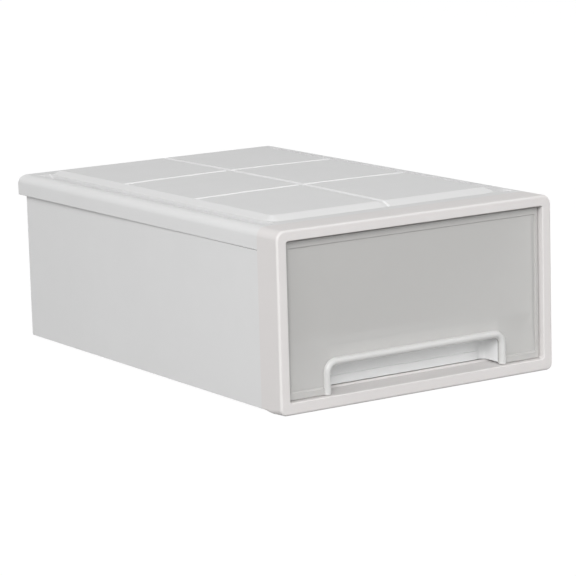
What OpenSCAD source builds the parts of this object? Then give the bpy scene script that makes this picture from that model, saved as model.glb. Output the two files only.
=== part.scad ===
// Stackable drawer box: a moulded case of six snapped-together boards with one sliding drawer.
// Millimetres. The box stands on Z = 0, its front faces -Y, and X = Y = 0 is the middle of its plan.
// Every value whose name ends in _y is measured back from the front face of the frame.

/* [Overall] */
// Width over the front frame and over the skirt of the top
box_w = 240; // [210:1:320]
// Depth from the front face to the rear of the skirt
box_d = 372; // [330:1:450]
// Height of the front frame, which is also the pitch of a stack
frame_h = 130.5; // [110:0.5:200]

/* [Front frame] */
// Width of each upright stile
stile_w = 8; // [7.5:0.5:12]
// Height of the top rail
top_rail_h = 7.9; // [7.5:0.1:12]
// Height of the bottom rail
bottom_rail_h = 8.9; // [8.5:0.1:12]
// Depth of the collar behind the front face
collar_d = 25; // [20:1:28]
// Radius of the frame's upper outer corners, seen from the front
frame_corner_r = 7; // [4:0.5:8]
// Radius of the frame's lower outer corners, seen from the front
frame_foot_r = 5; // [4.8:0.1:8]
// Radius of the frame's outer front edge
frame_edge_r = 1.8; // [1:0.1:2]
// Radius of the corners of the mouth
mouth_corner_r = 1.5; // [0.6:0.1:5]
// Thickness of the skin between the mouth and the grooves for the side boards
frame_skin = 1.6; // [1.2:0.1:2]
// Where the underside of the collar starts to rise
heel_y = 14; // [8:1:18]
// How far the underside of the collar has risen at its rear
heel_rise = 2; // [0.5:0.1:3]
// Width of the glide rib along the rear of the bottom rail
glide_w = 2.4; // [1.5:0.1:4]

/* [Boards] */
// Thickness of the side, back and base boards
board_t = 2.2; // [1.8:0.1:2.6]
// Height of the lower edges of the side and back boards
board_foot_z = 2; // [1:0.5:3]
// How far each side board draws in towards the rear
side_draw_in = 3.5; // [1:0.5:5]
// Distance from the rear of the skirt to the back board's face
back_inset = 5.5; // [4.5:0.5:8]
// Radius of the case's rear corners, seen from above
case_corner_r = 4; // [4:0.5:9]
// Height of the base board's underside above the ground
base_z = 5; // [4.8:0.1:6]
// Height of the side boards' drawer guide above the ground
guide_z = 22; // [18:1:40]
// Length of the snap tongues that enter the front frame
tongue_l = 8; // [5:1:12]
// Width of each snap tongue
tongue_w = 24; // [12:1:40]
// Play round a tongue in its groove, on each side
snap_play = 0.3; // [0.1:0.1:0.5]
// Gap along the seams between the boards
seam = 0.1; // [0.05:0.05:0.2]
// How far the boards and their tongues overlap where they are one piece
root = 0.5; // [0.3:0.1:0.8]

// Thickness of the base board's tongue as a share of the board's
base_tongue_share = 0.7; // [0.5:0.05:0.8]

/* [Rear feet] */
// Length of each rear foot across the box
foot_l = 38; // [20:1:60]
// Thickness of each rear foot
foot_t = 5; // [3:0.5:8]
// Distance from the middle of the box to each rear foot's middle
foot_x = 84; // [60:1:88]
// Distance from the platform's rear edge to each rear foot
foot_gap = 1.2; // [0.4:0.1:3]

/* [Top board] */
// Height of the skirt
skirt_h = 16; // [10:0.5:24]
// Thickness of the skirt
skirt_t = 2.4; // [2:0.1:3]
// Radius of the shoulder between the skirt and the rim
shoulder_r = 7; // [4:0.5:9]
// Radius of the skirt's rear corners, seen from above
skirt_corner_r = 2.5; // [2:0.5:8]
// Thickness of the deck
deck_t = 2.3; // [1.8:0.1:2.6]
// How far the deck lies below the top of the frame
deck_drop = 0.2; // [0:0.1:0.5]
// Width of each side rim, from the outside to the channel
rim_w = 9.5; // [9:0.5:14]
// Width of the channel between a rim and the platform
channel_w = 10; // [8:0.5:14]
// Depth of the channel below the deck
channel_depth = 3.4; // [2:0.1:3.8]
// Where the channel's front ramp starts
ramp_y = 32; // [28:1:38]
// Length of the channel's ramps along the box
ramp_l = 20; // [10:1:30]

/* [Stacking platform] */
// Where the platform's front bevel starts
platform_y = 36; // [30:1:50]
// Distance from the rear of the skirt to the platform's rear bevel
platform_rear = 17; // [13:1:30]
// Height of the platform's rounded edge above the deck
platform_rise = 3.5; // [2:0.1:4]
// Extra height of the panels at the middle of the platform
crown = 0.9; // [0.5:0.1:1.6]
// Width of the bevel along the sides
bevel_x = 6.5; // [5:0.5:12]
// Width of the bevel at the front and the rear
bevel_y = 9; // [6:0.5:16]
// Radius of the platform's corners at the deck, seen from above
platform_corner_r = 10; // [9:0.5:20]
// Number of panels across
columns = 2; // [1:1:4]
// Number of panels from front to rear
rows = 3; // [1:1:6]
// Width of the grooves between the panels
groove_w = 5.2; // [2:0.1:8]
// Depth of the grooves between the panels
groove_depth = 1.2; // [0.5:0.1:1.3]

/* [Drawer front] */
// How far the clear front lies behind the face of the frame
front_inset = 5.5; // [4:0.1:8]
// Thickness of the clear front
front_t = 2.2; // [1.8:0.1:3]
// Play between the drawer front and the mouth at the sides and the top
front_play = 1.2; // [0.8:0.1:2]
// Radius of the clear front's corners
front_corner_r = 1; // [0.5:0.1:5]
// Height of the clear front above the bottom rail
front_lift = 0.6; // [0.4:0.1:1]
// Height of the rest of the drawer above the bottom rail
drawer_lift = 1.5; // [1:0.1:2]
// Height of the raised band along the top and the bottom of the front
band_h = 5; // [3:0.5:8]
// Width of the raised band along the sides of the front
band_w = 2.6; // [2:0.1:5]
// How far the band stands proud of the front
band_rise = 1; // [0.5:0.1:1.5]
// Radius of the inner corners of the band
band_corner_r = 1; // [0.5:0.1:4]

/* [Drawer tub] */
// Thickness of the tub's walls and floor
tub_t = 2; // [1.6:0.1:2.6]
// Distance from the mouth's side to the tub's side wall
tub_side_gap = 2.6; // [2.2:0.1:5]
// Distance from the top rail to the top of the tub
tub_top_gap = 4.6; // [4:0.1:8]
// Distance from the tub's rear wall to the back board
tub_rear_gap = 12; // [6:1:24]
// Radius of the tub's rear corners, seen from above
tub_corner_r = 10; // [6:1:20]
// Radius of the tub's lower edges
tub_edge_r = 4; // [2:0.5:5]
// Width of the tub's top flange
flange_w = 1.6; // [1:0.1:2]
// Where the tub's lower front wall stands
riser_y = 27; // [24:1:40]
// Height of the ledge above the tub's lower front wall
ledge_z = 44.5; // [38:0.5:60]
// How far the drawer slides out
travel = 280; // [200:5:282]

/* [Runners and stops] */
// Distance from the middle of the box to each runner
runner_x = 88; // [60:1:95]
// Thickness of each runner
runner_t = 3; // [2:0.5:5]
// Gap between the drawer and what guides it
run_gap = 0.3; // [0.2:0.1:0.6]
// Gap between the tub's side walls and the side boards' guides
guide_gap = 0.7; // [0.3:0.1:1.2]
// Distance from the middle of the box to each stop
stop_x = 60; // [30:1:80]
// Width of each stop
stop_w = 20; // [10:1:30]
// Thickness of each stop
stop_t = 3.4; // [2:0.1:5]
// How far the tub's stop lug and the top's stop tab overlap in height
stop_bite = 3; // [2:0.1:4]

/* [Pull] */
// Clear width between the legs of the pull
pull_w = 149.4; // [100:0.5:170]
// Height of the underside of the pull's bar
pull_z = 29.4; // [26:0.1:34]
// Radius of the half-round bead that forms the pull
bead_r = 2.8; // [2:0.1:3.5]
// Radius of the bead's upper corners along its middle line
bead_corner_r = 7.6; // [5:0.1:9]
// Thickness of the pocket's wall
pocket_t = 1.6; // [1.2:0.1:2]
// Step from the pull's opening to the pocket's inside, on each side
pocket_step = 0.5; // [0.2:0.1:1]
// Radius of the pocket's rear corners, on the inside
pocket_corner_r = 5.4; // [3:0.1:9]
// Height of the thicker band at the foot of the pocket
kick_h = 6.6; // [3:0.1:10]
// Extra thickness of that band
kick_t = 0.8; // [0.4:0.1:1.2]

/* [Hidden] */
$fn = 48;
eps = 0.01;
far = 1000;

// Mouth of the frame
mouth_w = box_w - 2 * stile_w;
mouth_top_z = frame_h - top_rail_h;
mouth_h = mouth_top_z - bottom_rail_h;

// Case
back_y = box_d - back_inset;
skirt_z = frame_h - skirt_h;
deck_z = frame_h - deck_drop;
channel_in_x = box_w / 2 - rim_w - channel_w;
channel_out_x = box_w / 2 - rim_w;
channel_z = deck_z - channel_depth;
lip_underside_z = channel_z - deck_t;
deck_underside_z = deck_z - deck_t;
ledge_top_z = skirt_z - snap_play;
tongue_in_x = mouth_w / 2 + frame_skin + snap_play;
tongue_out_x = tongue_in_x + board_t;
tongue_top_z = deck_underside_z - snap_play;
corner_y = back_y - case_corner_r;
corner_x = side_x(corner_y) - case_corner_r;

// Platform
platform_half = channel_in_x;
platform_rear_y = box_d - platform_rear;
edge_z = deck_z + platform_rise;
crest_z = edge_z + crown;
field_front_y = platform_y + bevel_y;
field_rear_y = platform_rear_y - bevel_y;
field_half = platform_half - bevel_x;
row_pitch = (field_rear_y - field_front_y) / rows;
column_pitch = 2 * field_half / columns;

// Drawer
drawer_z = bottom_rail_h + drawer_lift;
front_z = bottom_rail_h + front_lift;
front_half = mouth_w / 2 - front_play;
front_top_z = mouth_top_z - front_play;
front_back_y = front_inset + front_t;
tub_half = mouth_w / 2 - tub_side_gap;
tub_top_z = mouth_top_z - tub_top_gap;
tub_rear_y = back_y - board_t - tub_rear_gap;
tub_l = tub_rear_y - front_back_y;
lug_y = tub_rear_y - tub_t;
stop_face_y = lug_y - travel - run_gap;
stop_low_z = tub_top_z + (deck_underside_z - tub_top_z - stop_bite) / 2;
lug_top_z = stop_low_z + stop_bite;
ledge_underside_z = ledge_z - tub_t;
pull_half = pull_w / 2;
bead_x = pull_half + bead_r;
bead_z = pull_z + bead_r;

// Outer face of the side board at a distance back from the front
function side_x(y) = box_w / 2 - side_draw_in * (y - collar_d) / (back_y - collar_d);

// Moves a shape that is drawn from the front face at Y = 0 into the part's own frame
module from_front() {
    translate([0, -box_d / 2, 0]) children();
}

// Turns a flat outline in X and Z into a solid that runs back from Y = 0
module run_back(length) {
    rotate([90, 0, 0]) translate([0, 0, -length]) linear_extrude(length) children();
}

// Turns a flat outline in Y and Z into a solid across the box, centred on X = 0
module run_across(width) {
    rotate([90, 0, 90]) translate([0, 0, -width / 2]) linear_extrude(width) children();
}

// Flat rectangle with round corners, centred
module rounded_rect(w, h, r) {
    square([w - 2 * r, h], center = true);
    square([w, h - 2 * r], center = true);
    for (sx = [-1, 1], sy = [-1, 1])
        translate([sx * (w / 2 - r), sy * (h / 2 - r)]) circle(r);
}

// Block with round upright corners and round lower edges, centred, standing on Z = 0
module soft_block(w, d, h, r, e) {
    translate([0, 0, e]) linear_extrude(h - e) rounded_rect(w, d, r);
    linear_extrude(h) square([w - 2 * r, d - 2 * e], center = true);
    linear_extrude(h) square([w - 2 * e, d - 2 * r], center = true);
    for (s = [-1, 1]) {
        translate([0, s * (d / 2 - e), e]) rotate([0, 90, 0]) cylinder(h = w - 2 * r, r = e, center = true);
        translate([s * (w / 2 - e), 0, e]) rotate([90, 0, 0]) cylinder(h = d - 2 * r, r = e, center = true);
    }
    for (sx = [-1, 1], sy = [-1, 1])
        translate([sx * (w / 2 - r), sy * (d / 2 - r), 0]) rotate_extrude() {
            square([r - e, 2 * e]);
            intersection() {
                translate([r - e, e]) circle(e);
                square([r, 2 * e]);
            }
        }
}

// Outline of the case behind the collar, seen from above, drawn in by an inset
module case_outline(inset) {
    r = case_corner_r - inset;
    polygon([[side_x(collar_d) - inset, collar_d], [side_x(corner_y) - inset, corner_y],
             [corner_x, back_y - inset], [-corner_x, back_y - inset],
             [-side_x(corner_y) + inset, corner_y], [-side_x(collar_d) + inset, collar_d]]);
    for (s = [-1, 1]) translate([s * corner_x, corner_y]) circle(r);
}

// Half of the plan, to the right of a given distance from the middle
module right_of(x) {
    translate([x, 0]) square([far, far]);
}

// Fills the collar's round lower right corner more and more towards the boards, which have a sharp one
module foot_corner() {
    r = frame_foot_r;
    l = collar_d - frame_edge_r;
    turn = atan(r * (1 - sqrt(0.5)) / l);
    intersection() {
        translate([box_w / 2 - r, frame_edge_r, 0]) cube([r, l, r]);
        translate([box_w / 2 - r, frame_edge_r, r])
            rotate([-turn, 0, -turn]) rotate([-90, 0, 0]) cylinder(h = 2 * l, r = r);
    }
}

// Upper or lower half of the frame's block, whose outer corners have the given radius
module frame_half(r, upper) {
    intersection() {
        translate([0, 0, frame_h / 2]) rotate([-90, 0, 0]) soft_block(box_w, frame_h, collar_d, r, frame_edge_r);
        translate([-far / 2, -eps, upper ? frame_h / 2 : -eps]) cube([far, far, frame_h / 2 + eps]);
    }
}

// Collar round the mouth. Its rear face has a groove for the tongues of each board.
module front_frame() color([0.93, 0.92, 0.905]) from_front() difference() {
    union() {
        frame_half(frame_corner_r, true);
        frame_half(frame_foot_r, false);
        foot_corner();
        mirror([1, 0, 0]) foot_corner();
    }
    difference() {
        translate([0, -eps, bottom_rail_h + mouth_h / 2]) run_back(collar_d + 2 * eps)
            rounded_rect(mouth_w, mouth_h, mouth_corner_r);
        // rib that the drawer glides on
        translate([0, collar_d - glide_w, 0]) run_back(glide_w + 1)
            translate([-mouth_w / 2, 0]) square([mouth_w, drawer_z - run_gap]);
    }
    // rising underside
    run_across(box_w + 2) polygon([[heel_y, -1], [heel_y, 0], [collar_d + eps, heel_rise],
                                   [collar_d + eps, -1]]);
    // grooves for the side boards, the top board and the base board
    for (s = [-1, 1], z = side_tongue_levels())
        translate([s * (tongue_in_x + board_t / 2), groove_mid_y(), z])
            cube([board_t + 2 * snap_play, groove_l(), tongue_w + 2 * snap_play], center = true);
    for (x = deck_tongue_places())
        translate([x, groove_mid_y(), deck_tongue_z()])
            cube([tongue_w + 2 * snap_play, groove_l(), deck_t + 2 * snap_play], center = true);
    translate([0, groove_mid_y(), base_z + base_tongue_t() / 2])
        cube([2 * base_tongue_half() + 2 * snap_play, groove_l(), base_tongue_t() + 2 * snap_play],
             center = true);
}

// Where the tongues stand, shared by the frame's grooves and the boards
function side_tongue_levels() = [for (k = [-1, 1]) (skirt_z + board_foot_z) / 2 + k * skirt_z / 4];
function deck_tongue_places() = [for (k = [-1:1]) k * mouth_w / 3];
function deck_tongue_z() = deck_underside_z - deck_t / 2;
function base_tongue_t() = base_tongue_share * board_t;
function base_tongue_half() = mouth_w / 2 - tongue_w / 2;
function groove_l() = tongue_l + snap_play + eps;
function groove_mid_y() = collar_d + eps - groove_l() / 2;

// Section of the top board's outside across the box, without its deck details
module top_section(inset) {
    r = shoulder_r - inset;
    half = box_w / 2 - inset;
    top = frame_h - inset;
    translate([-half, 0]) square([2 * half, top - r]);
    translate([-half + r, 0]) square([2 * (half - r), top]);
    for (s = [-1, 1]) translate([s * (half - r), top - r]) circle(r);
}

// Section of the top board's outside along the box
module top_long_section(inset) {
    r = shoulder_r - inset;
    top = frame_h - inset;
    rear = box_d - inset;
    square([rear, top - r]);
    square([rear - r, top]);
    translate([rear - r, top - r]) circle(r);
}

// Top board's outer form, or the same form drawn in by an inset
module top_form(inset) {
    intersection() {
        run_back(box_d) top_section(inset);
        run_across(box_w) top_long_section(inset);
        linear_extrude(frame_h) difference() {
            translate([0, box_d / 2]) rounded_rect(box_w - 2 * inset, box_d - 2 * inset,
                                                   skirt_corner_r - min(inset, skirt_corner_r - 1));
            translate([-far / 2, -far + collar_d]) square([far, far]);
        }
        translate([-far / 2, collar_d, skirt_z]) cube([far, far, far]);
    }
}

// Upright form with the platform's plan, whose corners are cones
module platform_plan() {
    r = platform_corner_r;
    h = crest_z - deck_underside_z + eps;
    l = platform_rear_y - platform_y;
    translate([-platform_half + r, platform_y, deck_underside_z]) cube([2 * (platform_half - r), l, h]);
    translate([-platform_half, platform_y + r, deck_underside_z]) cube([2 * platform_half, l - 2 * r, h]);
    for (s = [-1, 1], y = [platform_y + r, platform_rear_y - r]) translate([s * (platform_half - r), y, 0]) {
        translate([0, 0, deck_underside_z]) cylinder(h = deck_t, r = r);
        translate([0, 0, deck_z]) cylinder(h = platform_rise, r1 = r, r2 = r - (bevel_x + bevel_y) / 2);
        translate([0, 0, deck_z]) cylinder(h = platform_rise + crown + eps, r = r - (bevel_x + bevel_y) / 2);
    }
}

// Raised platform with its bevel and its slight crown, lowered by a drop
module platform_form(drop) {
    intersection() {
        translate([0, 0, -drop]) platform_plan();
        translate([0, platform_y, -drop]) run_back(platform_rear_y - platform_y)
            polygon([[-platform_half, deck_underside_z], [-platform_half, deck_z], [-field_half, edge_z],
                     [0, crest_z], [field_half, edge_z], [platform_half, deck_z],
                     [platform_half, deck_underside_z]]);
        translate([0, 0, -drop]) run_across(2 * platform_half)
            polygon([[platform_y, deck_underside_z], [platform_y, deck_z], [field_front_y, edge_z],
                     [field_front_y + row_pitch, crest_z], [field_rear_y - row_pitch, crest_z],
                     [field_rear_y, edge_z], [platform_rear_y, deck_z],
                     [platform_rear_y, deck_underside_z]]);
    }
}

// Grooves that divide the platform into panels, as deep everywhere as the crown allows
module panel_grooves() {
    difference() {
        union() {
            if (rows > 1) for (k = [1:rows - 1])
                translate([-field_half, field_front_y + k * row_pitch - groove_w / 2, deck_underside_z])
                    cube([2 * field_half, groove_w, far]);
            if (columns > 1) for (k = [1:columns - 1])
                translate([-field_half + k * column_pitch - groove_w / 2, platform_y, deck_underside_z])
                    cube([groove_w, platform_rear_y - platform_y, far]);
        }
        platform_form(groove_depth);
    }
}

// Top of the case: deck, skirt, side rims, channels, and the platform that locates a box on top
module top_board() color([0.88, 0.88, 0.875]) from_front() {
    difference() {
        top_form(0);
        // room inside the skirt
        intersection() {
            top_form(skirt_t);
            translate([-far / 2, 0, 0]) cube([far, far, lip_underside_z]);
        }
        translate([-(box_w / 2 - skirt_t), collar_d - eps, 0])
            cube([box_w - 2 * skirt_t, skirt_t + 2 * eps, lip_underside_z]);
        // room under the deck and the platform
        translate([-platform_half + deck_t, collar_d - eps, 0])
            cube([2 * (platform_half - deck_t), box_d - platform_rear - collar_d - deck_t,
                  deck_underside_z]);
        // deck, a little below the top of the rims
        translate([-channel_out_x, collar_d - eps, deck_z]) cube([2 * channel_out_x, far, far]);
        // channels beside the platform, with a ramp at each end
        for (s = [-1, 1]) translate([s * (channel_in_x + channel_out_x) / 2, 0, 0]) run_across(channel_w)
            polygon([[ramp_y, deck_z + eps], [ramp_y + ramp_l, channel_z],
                     [platform_rear_y - ramp_l / 2, channel_z], [platform_rear_y, deck_z + eps]]);
        // grooves for the tongues of the side boards and the back board
        for (s = [-1, 1])
            translate([s * (tongue_in_x + tongue_out_x) / 2 - board_t / 2 - snap_play, collar_d - eps, 0])
                cube([board_t + 2 * snap_play, corner_y + snap_play - collar_d + eps,
                      tongue_top_z + snap_play]);
        translate([-corner_x - snap_play, back_y - board_t - snap_play, 0])
            cube([2 * (corner_x + snap_play), board_t + 2 * snap_play, tongue_top_z + snap_play]);
    }
    difference() {
        platform_form(0);
        platform_form(deck_t);
        panel_grooves();
    }
    // tongues that enter the front frame
    for (x = deck_tongue_places())
        translate([x - tongue_w / 2, collar_d - tongue_l, deck_tongue_z() - deck_t / 2])
            cube([tongue_w, 2 * tongue_l, deck_t + eps]);
    // tabs that stop the drawer
    for (s = [-1, 1])
        translate([s * stop_x - stop_w / 2, stop_face_y - stop_t, stop_low_z])
            cube([stop_w, stop_t, deck_underside_z - stop_low_z + eps]);
}

// Right side board, with its stepped top, its rear corner, its tongues and its drawer guide
module right_side_shape() {
    difference() {
        union() {
            // wall that turns the rear corner
            translate([0, 0, board_foot_z]) linear_extrude(ledge_top_z - board_foot_z) difference() {
                intersection() {
                    case_outline(0);
                    right_of(corner_x);
                }
                case_outline(board_t);
            }
            // step under the skirt
            translate([0, 0, ledge_top_z - board_t]) linear_extrude(board_t) intersection() {
                case_outline(0);
                right_of(tongue_in_x);
            }
            // guide that keeps the drawer straight
            translate([0, 0, guide_z]) linear_extrude(board_t) intersection() {
                case_outline(board_t - root);
                right_of(tub_half + guide_gap);
                square([far, corner_y]);
            }
        }
        // the guide and the step stay clear of the back board
        translate([0, corner_y, 0]) cube([corner_x, far, far]);
    }
    // tongue in the top board
    translate([tongue_in_x, collar_d, ledge_top_z - board_t])
        cube([board_t, corner_y - collar_d, tongue_top_z - ledge_top_z + board_t]);
    // tongues in the front frame
    for (z = side_tongue_levels()) {
        translate([tongue_in_x, collar_d - tongue_l, z - tongue_w / 2])
            cube([board_t, 2 * tongue_l, tongue_w]);
        translate([tongue_in_x, collar_d, z - tongue_w / 2])
            cube([side_x(collar_d) - board_t / 2 - tongue_in_x, tongue_l, tongue_w]);
    }
}

module left_side_board() color([0.87, 0.875, 0.87]) from_front() mirror([1, 0, 0]) right_side_shape();

module right_side_board() color([0.87, 0.875, 0.87]) from_front() right_side_shape();

// Back of the case, between the side boards' corners
module back_board() color([0.86, 0.865, 0.86]) from_front()
    translate([-corner_x + seam, back_y - board_t, board_foot_z])
        cube([2 * (corner_x - seam), board_t, tongue_top_z - board_foot_z]);

// Floor of the case, with the drawer's runners on it and the rear feet under it
module base_board() color([0.86, 0.86, 0.855]) from_front() {
    translate([0, 0, base_z]) linear_extrude(board_t) case_outline(board_t + seam);
    // tongue in the front frame
    translate([-base_tongue_half(), collar_d - tongue_l, base_z])
        cube([2 * base_tongue_half(), 2 * tongue_l, base_tongue_t()]);
    for (s = [-1, 1]) {
        translate([s * runner_x - runner_t / 2, riser_y + tub_edge_r, base_z])
            cube([runner_t, corner_y - riser_y - tub_edge_r, drawer_z - run_gap - base_z]);
        translate([s * foot_x - foot_l / 2, platform_rear_y + foot_gap, 0])
            cube([foot_l, foot_t, base_z + eps]);
    }
}

// Tub: floor, sides, rear, and a stepped low wall at the front that leaves room for the pull
module drawer_tub() color([0.90, 0.91, 0.91, 0.7]) from_front() {
    difference() {
        tub_block(0);
        tub_block(tub_t);
        // the clear front closes the tub here
        translate([-far / 2, front_back_y - far, 0]) cube([far, far, far]);
        // room for the pull under the ledge
        translate([-(tub_half - tub_t), front_back_y - eps, drawer_z - eps])
            cube([2 * (tub_half - tub_t), riser_y - front_back_y + eps, ledge_underside_z - drawer_z]);
    }
    // ledge and lower front wall
    translate([-tub_half + tub_t / 2, front_back_y, ledge_underside_z])
        cube([2 * tub_half - tub_t, riser_y + tub_t - front_back_y, tub_t]);
    translate([-tub_half + tub_t / 2, riser_y, drawer_z])
        cube([2 * tub_half - tub_t, tub_t, ledge_z - drawer_z]);
    // flange along the top of the side walls
    for (s = [-1, 1])
        translate([s * (tub_half + flange_w / 2 - tub_t / 2), (front_back_y + tub_rear_y - tub_corner_r) / 2,
                   tub_top_z - tub_t / 2])
            cube([flange_w + tub_t, tub_rear_y - tub_corner_r - front_back_y, tub_t], center = true);
    // lugs that meet the stops
    for (s = [-1, 1])
        translate([s * stop_x - stop_w / 2, lug_y, tub_top_z - tub_t])
            cube([stop_w, tub_t, lug_top_z - tub_top_z + tub_t]);
}

// Outside of the tub, or its inside when drawn in by the wall, running on past the clear front
module tub_block(inset) {
    l = tub_l + 2 * tub_corner_r - inset;
    translate([0, tub_rear_y - inset - l / 2, drawer_z + inset])
        soft_block(2 * (tub_half - inset), l, tub_top_z - drawer_z - (inset > 0 ? 0 : eps),
                   tub_corner_r - inset, tub_edge_r - inset / 2);
}

// Clear front with a raised band round it, cut out for the pull
module drawer_front() color([0.80, 0.79, 0.77, 0.5]) from_front() difference() {
    translate([0, 0, (front_z + front_top_z) / 2]) {
        translate([0, front_inset, 0]) run_back(front_t)
            rounded_rect(2 * front_half, front_top_z - front_z, front_corner_r);
        translate([0, front_inset - band_rise, 0]) run_back(band_rise + eps) difference() {
            rounded_rect(2 * front_half, front_top_z - front_z, front_corner_r);
            rounded_rect(2 * (front_half - band_w), front_top_z - front_z - 2 * band_h, band_corner_r);
        }
    }
    // way in for the fingers
    translate([0, front_inset - eps, 0]) run_back(front_t + 1) {
        pull_opening(0);
    }
    // the band stops at the pull's legs
    translate([-(pull_half + 2 * bead_r), front_inset - band_rise - eps, 0])
        cube([2 * (pull_half + 2 * bead_r), band_rise + eps, bead_z + bead_r]);
}

// Outline of the pull's opening in X and Z, grown by a margin, open towards the ground
module pull_opening(margin) {
    half = pull_half + margin;
    top = pull_z + margin;
    r = bead_corner_r - bead_r + margin;
    translate([-half, 0]) square([2 * half, top - r]);
    translate([-half + r, 0]) square([2 * (half - r), top]);
    for (s = [-1, 1]) translate([s * (half - r), top - r]) circle(r);
}

// Pocket behind the pull, open at the front and towards the ground
module pull_pocket() color([0.90, 0.90, 0.895, 0.8]) from_front() {
    translate([0, 0, drawer_z]) linear_extrude(ledge_underside_z - drawer_z) difference() {
        pocket_plan(pocket_t);
        pocket_plan(0);
    }
    // thicker band at the foot
    translate([-pull_half + pocket_corner_r, riser_y - pocket_t - kick_t, drawer_z])
        cube([pull_w - 2 * pocket_corner_r, kick_t + eps, kick_h]);
}

// Plan of the pocket's inside, grown by its wall
module pocket_plan(wall) {
    half = pull_half + pocket_step + wall;
    rear = riser_y - pocket_t + wall;
    r = pocket_corner_r + wall;
    start = front_back_y - (wall > 0 ? 0 : eps);
    translate([-half, start]) square([2 * half, rear - r - start]);
    translate([-half + r, start]) square([2 * (half - r), rear - start]);
    for (s = [-1, 1]) translate([s * (half - r), rear - r]) circle(r);
}

// Half-round bead round the pull's opening: a bar above and a leg at each side
module pull_lip() color([0.92, 0.92, 0.915, 0.9]) from_front() intersection() {
    translate([0, front_inset, 0]) union() {
        translate([0, 0, bead_z]) rotate([0, 90, 0])
            cylinder(h = 2 * (bead_x - bead_corner_r), r = bead_r, center = true);
        for (s = [-1, 1]) {
            translate([s * bead_x, 0, front_z]) cylinder(h = bead_z - bead_corner_r - front_z, r = bead_r);
            translate([s * (bead_x - bead_corner_r), 0, bead_z - bead_corner_r])
                rotate([90, s > 0 ? 0 : -90, 0]) rotate_extrude(angle = 90)
                    translate([bead_corner_r, 0]) circle(bead_r);
        }
    }
    translate([-far / 2, front_inset - far, 0]) cube([far, far, far]);
}

front_frame();
top_board();
left_side_board();
right_side_board();
back_board();
base_board();
drawer_tub();
drawer_front();
pull_pocket();
pull_lip();
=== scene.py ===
"""Dressed model of a stackable drawer box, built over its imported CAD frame.

Everything is in metres and in the frame's own axes: the box stands on Z = 0, its front faces -Y,
and X = Y = 0 is the middle of its plan. Values whose name ends in _y are measured back from the
front face of the front frame, as they are in the part's source.
"""

import logging
import math
from contextlib import contextmanager
from dataclasses import dataclass, field
from enum import Enum
from typing import Any, Callable, Iterable, Iterator, Optional, Sequence, Union

import bmesh
import bpy
import numpy as np
from mathutils import Matrix, Vector


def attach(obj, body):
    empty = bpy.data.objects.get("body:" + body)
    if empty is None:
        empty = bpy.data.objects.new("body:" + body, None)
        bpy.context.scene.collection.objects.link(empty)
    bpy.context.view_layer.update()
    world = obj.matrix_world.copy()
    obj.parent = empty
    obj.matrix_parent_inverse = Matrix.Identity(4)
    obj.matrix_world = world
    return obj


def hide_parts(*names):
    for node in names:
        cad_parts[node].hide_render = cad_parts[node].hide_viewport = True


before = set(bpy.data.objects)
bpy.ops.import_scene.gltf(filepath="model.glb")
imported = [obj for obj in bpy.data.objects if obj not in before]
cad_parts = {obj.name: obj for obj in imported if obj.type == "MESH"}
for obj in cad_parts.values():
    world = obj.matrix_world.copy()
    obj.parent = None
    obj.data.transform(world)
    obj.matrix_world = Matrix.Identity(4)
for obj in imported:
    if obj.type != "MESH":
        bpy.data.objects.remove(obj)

MM = 0.001
BOX_WIDTH = 240 * MM
BOX_DEPTH = 372 * MM
RIM_Z = 130.5 * MM
COLLAR_DEPTH = 25 * MM
log = logging.getLogger("drawer_box")


def from_front(y: float) -> float:
    """Turns a distance back from the front face into the frame's own Y."""
    return y - BOX_DEPTH / 2


def shade(red: int, green: int, blue: int) -> tuple[float, float, float, float]:
    """Turns a colour from 0-255 display values into the linear values that a socket takes.

    Args:
        red, green, blue: the display values.

    Returns:
        The colour as linear red, green, blue and an alpha of 1.
    """
    def linear(value: int) -> float:
        """Turns one display value into a linear one."""
        part = value / 255
        return part / 12.92 if part <= 0.04045 else ((part + 0.055) / 1.055) ** 2.4

    return linear(red), linear(green), linear(blue), 1.0


# ---------------------------------------------------------------- nodes

Value = Union["Wire", float, int, tuple]


class Wire:
    """One output of a node, on which arithmetic adds Math nodes, in shaders and geometry alike."""

    def __init__(self, kit: "NodeKit", socket: bpy.types.NodeSocket) -> None:
        self.kit = kit
        self.socket = socket

    def math(self, operation: str, *others: Value, clamp: bool = False) -> "Wire":
        """Adds a Math node fed by this wire.

        Args:
            operation: the Math node's operation.
            others: its further inputs, as wires or numbers.
            clamp: whether the result is held between 0 and 1.

        Returns:
            The node's result.
        """
        inputs = dict(enumerate((self, *others)))
        settings = {"operation": operation, "use_clamp": clamp}
        return self.kit.node("ShaderNodeMath", settings, inputs)

    def __add__(self, other: Value) -> "Wire":
        """Adds a value."""
        return self.math("ADD", other)

    def __mul__(self, other: Value) -> "Wire":
        """Multiplies by a value."""
        return self.math("MULTIPLY", other)

    __rmul__ = __mul__

    def __sub__(self, other: Value) -> "Wire":
        """Takes a value away."""
        return self.math("SUBTRACT", other)

    def __rsub__(self, other: Value) -> "Wire":
        """Takes this wire away from a value."""
        return self.kit.node("ShaderNodeMath", {"operation": "SUBTRACT"}, {0: other, 1: self})

    def __truediv__(self, other: Value) -> "Wire":
        """Divides by a value."""
        return self.math("DIVIDE", other)

    def __abs__(self) -> "Wire":
        """Takes the absolute value."""
        return self.math("ABSOLUTE")

    def held(self) -> "Wire":
        """Holds the value between 0 and 1."""
        return self.math("ADD", 0.0, clamp=True)


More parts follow.
